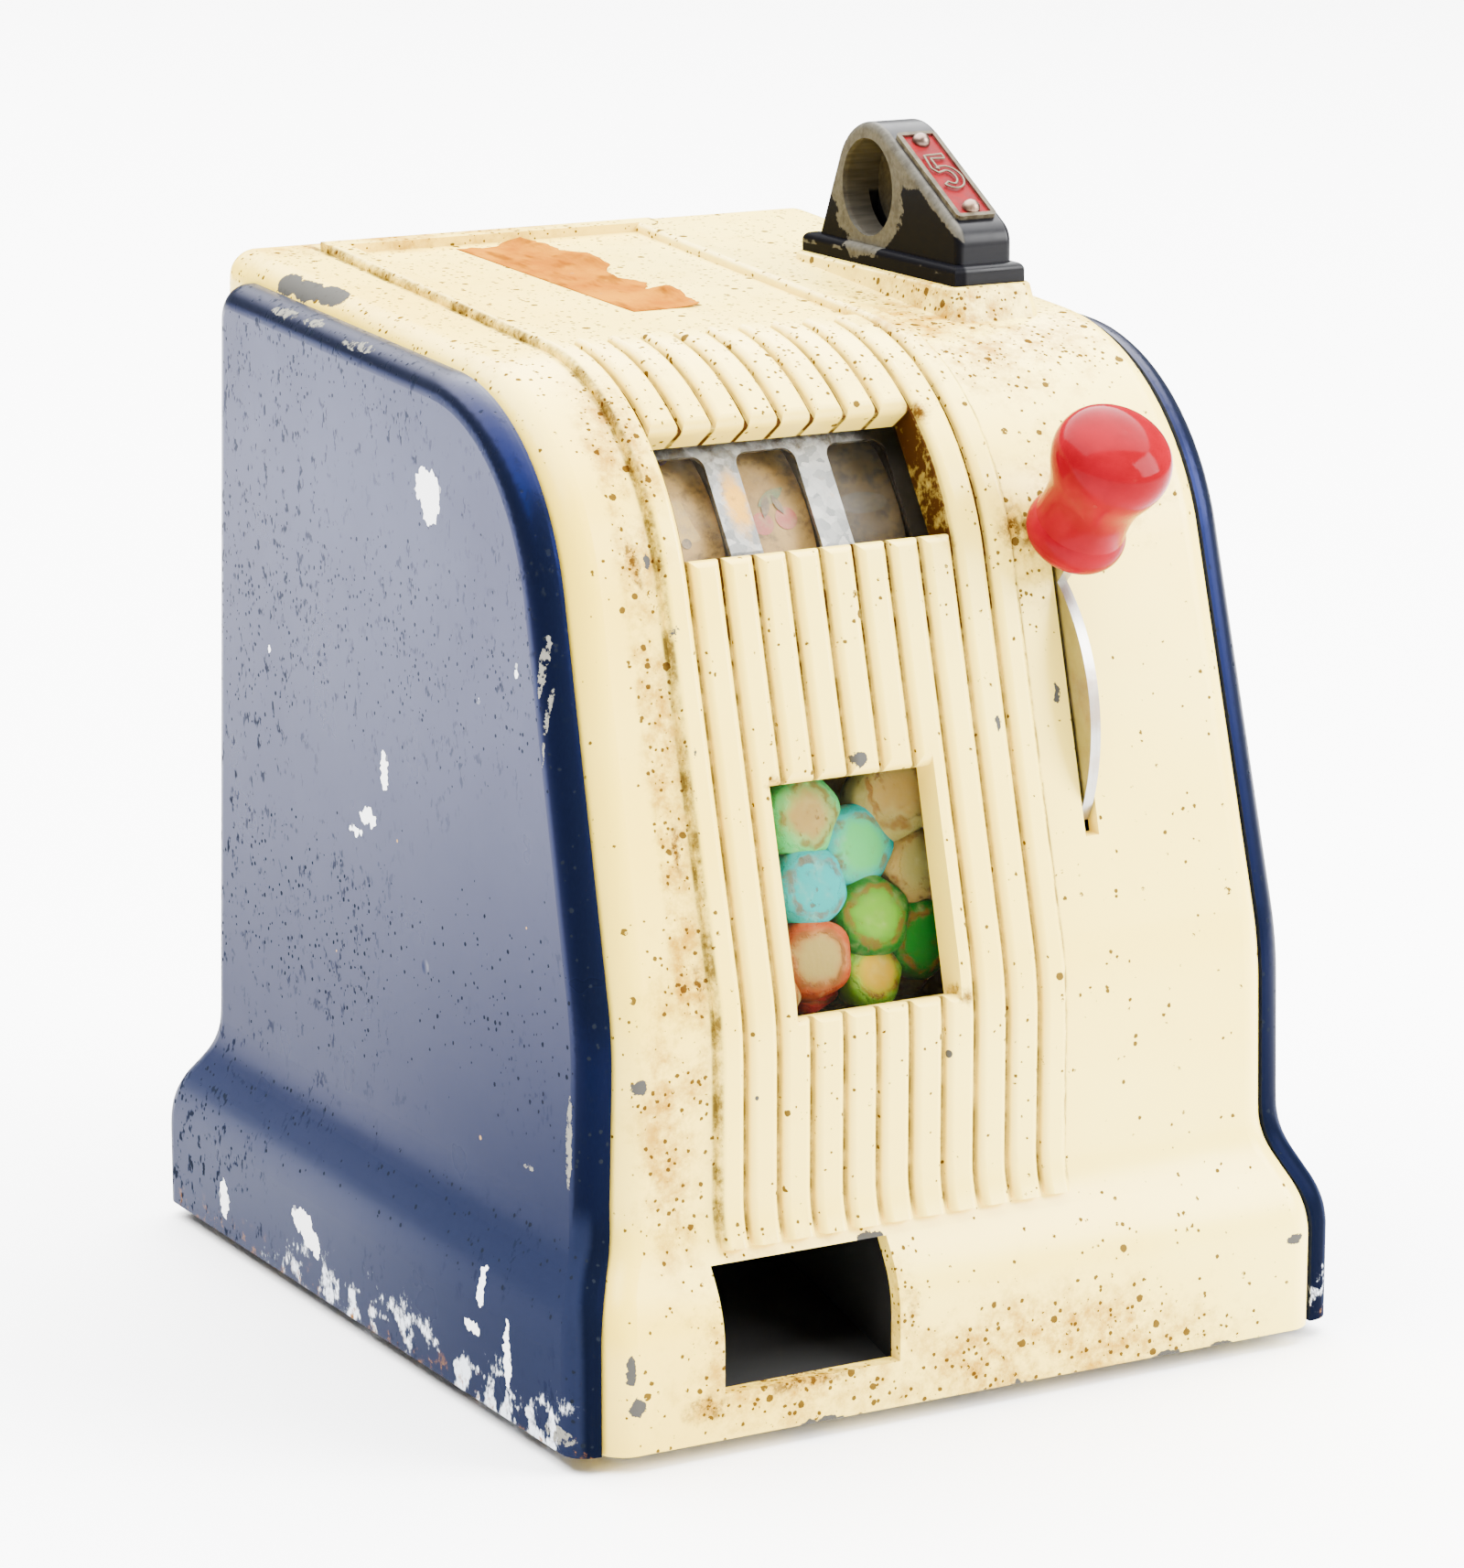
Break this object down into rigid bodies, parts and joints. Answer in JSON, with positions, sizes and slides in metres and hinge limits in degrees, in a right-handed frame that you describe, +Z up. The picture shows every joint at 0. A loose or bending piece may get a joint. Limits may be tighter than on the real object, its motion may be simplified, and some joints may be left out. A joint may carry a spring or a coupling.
{
  "type": "gumball machine",
  "caption": "Counter-top trade stimulator that vends ball gum: enamelled cabinet, three spinning reels behind a window, lever, coin head, gum window and outlet.",
  "frame": {"origin": "middle of the cabinet's footprint on the floor", "axes": "+Z up, -Y out of the front with the windows and lever, +X to the right seen from the front"},
  "size_m": [0.2, 0.222, 0.2722],
  "materials": {
    "cream_enamel": "gloss enamel, yellowed and chipped",
    "navy_enamel": "gloss enamel with fine chips",
    "black_enamel": "worn black paint over grey metal",
    "red_enamel": "red enamel on the price plate",
    "red_knob": "scratched gloss red",
    "steel": "dull brushed steel",
    "galvanised": "galvanised sheet",
    "tin_plate": "dull tin plate",
    "chrome": "nickel-plated",
    "brass": "dull brass",
    "glass": "clear pane",
    "rubber": "matt black rubber",
    "reel_drum": "plain aluminium drum",
    "strip_card": "printed paper strip",
    "gum": "hard sugar shell in mixed colours",
    "gum_wheel_metal": "plain cast aluminium"
  },
  "bodies": {
    "cabinet": {"front_casting": "cream_enamel", "left_side_panel": "navy_enamel", "right_side_panel": "navy_enamel", "rear_panel": "navy_enamel", "door_hinge_pin": "steel", "base_plate": "galvanised", "rubber_feet": "rubber", "foot_screws": "steel", "panel_screws": "steel", "reel_glass": "glass", "gum_glass": "glass", "reel_mask": "galvanised", "mask_screws": "steel", "mech_plate_left": "galvanised", "mech_plate_right": "galvanised", "lever_bracket": "galvanised", "reel_shaft": "steel", "pawl_shaft": "steel", "shaft_spacers": "brass", "tie_rods": "steel", "lever_bushes": "brass", "spring_post": "steel", "return_spring": "steel", "gum_hopper": "tin_plate", "hopper_screws": "steel", "gumballs": "gum", "gum_chute": "black_enamel", "coin_head": "black_enamel", "coin_head_screws": "steel", "price_plate": "red_enamel", "plate_rivets": "chrome", "coin_chute": "tin_plate", "cash_box": "tin_plate"},
    "lever": {"lever_plate": "chrome", "lever_shaft": "steel", "knob_stud": "steel", "lever_knob": "red_knob", "lever_crank": "steel"},
    "link": {"link_rod": "steel"},
    "gum_wheel": {"gum_wheel": "gum_wheel_metal", "gum_wheel_shaft": "steel", "gum_crank": "steel"},
    "door": {"rear_door": "navy_enamel", "lock_barrel": "chrome"},
    "lock": {"lock_plug": "brass", "lock_cam": "steel"},
    "reel_left": {"reel_left": "reel_drum", "reel_strip_left": "strip_card", "stop_wheel_left": "steel"},
    "pawl_left": {"stop_pawl_left": "steel"},
    "reel_middle": {"reel_middle": "reel_drum", "reel_strip_middle": "strip_card", "stop_wheel_middle": "steel"},
    "pawl_middle": {"stop_pawl_middle": "steel"},
    "reel_right": {"reel_right": "reel_drum", "reel_strip_right": "strip_card", "stop_wheel_right": "steel"},
    "pawl_right": {"stop_pawl_right": "steel"}
  },
  "joints": [
    {"name": "lever_pull", "type": "hinge", "parent": "cabinet", "child": "lever", "pos_m": [0.0407, -0.0484, 0.146], "axis": [1, 0, 0], "range_deg": [0, 72], "stiffness_Nm_per_rad": 0.6, "springref_deg": -28.65, "deforming": ["return_spring"]},
    {"name": "link_swing", "type": "hinge", "parent": "lever", "child": "link", "pos_m": [0.0275, -0.03384, 0.13542], "axis": [1, 0, 0], "range_deg": [-72, 0]},
    {"name": "gum_wheel_turn", "type": "hinge", "parent": "cabinet", "child": "gum_wheel", "pos_m": [-0.0443, -0.07258, 0.06181], "axis": [1, 0, 0], "range_deg": [0, 72]},
    {"name": "reel_spin_left", "type": "hinge", "parent": "cabinet", "child": "reel_left", "pos_m": [-0.0437, -0.02076, 0.17426], "axis": [1, 0, 0], "continuous": true},
    {"name": "reel_spin_middle", "type": "hinge", "parent": "cabinet", "child": "reel_middle", "pos_m": [-0.0204, -0.02076, 0.17426], "axis": [1, 0, 0], "continuous": true},
    {"name": "reel_spin_right", "type": "hinge", "parent": "cabinet", "child": "reel_right", "pos_m": [0.0029, -0.02076, 0.17426], "axis": [1, 0, 0], "continuous": true},
    {"name": "stop_left", "type": "hinge", "parent": "cabinet", "child": "pawl_left", "pos_m": [-0.03285, 0.04124, 0.15366], "axis": [-1, 0, 0], "range_deg": [0, 2.59]},
    {"name": "stop_middle", "type": "hinge", "parent": "cabinet", "child": "pawl_middle", "pos_m": [-0.00955, 0.04124, 0.15366], "axis": [-1, 0, 0], "range_deg": [0, 2.59]},
    {"name": "stop_right", "type": "hinge", "parent": "cabinet", "child": "pawl_right", "pos_m": [0.01375, 0.04124, 0.15366], "axis": [-1, 0, 0], "range_deg": [0, 2.59]},
    {"name": "door_swing", "type": "hinge", "parent": "cabinet", "child": "door", "pos_m": [-0.0635, 0.1006, 0.13], "axis": [0, 0, 1], "range_deg": [0, 110]},
    {"name": "lock_turn", "type": "hinge", "parent": "door", "child": "lock", "pos_m": [0.044, 0.0965, 0.13], "axis": [0, 1, 0], "range_deg": [0, 90]}
  ],
  "couplings": [
    {"joint": "link_swing", "follows": "lever_pull", "ratio": -1},
    {"joint": "gum_wheel_turn", "follows": "lever_pull", "ratio": 1}
  ]
}
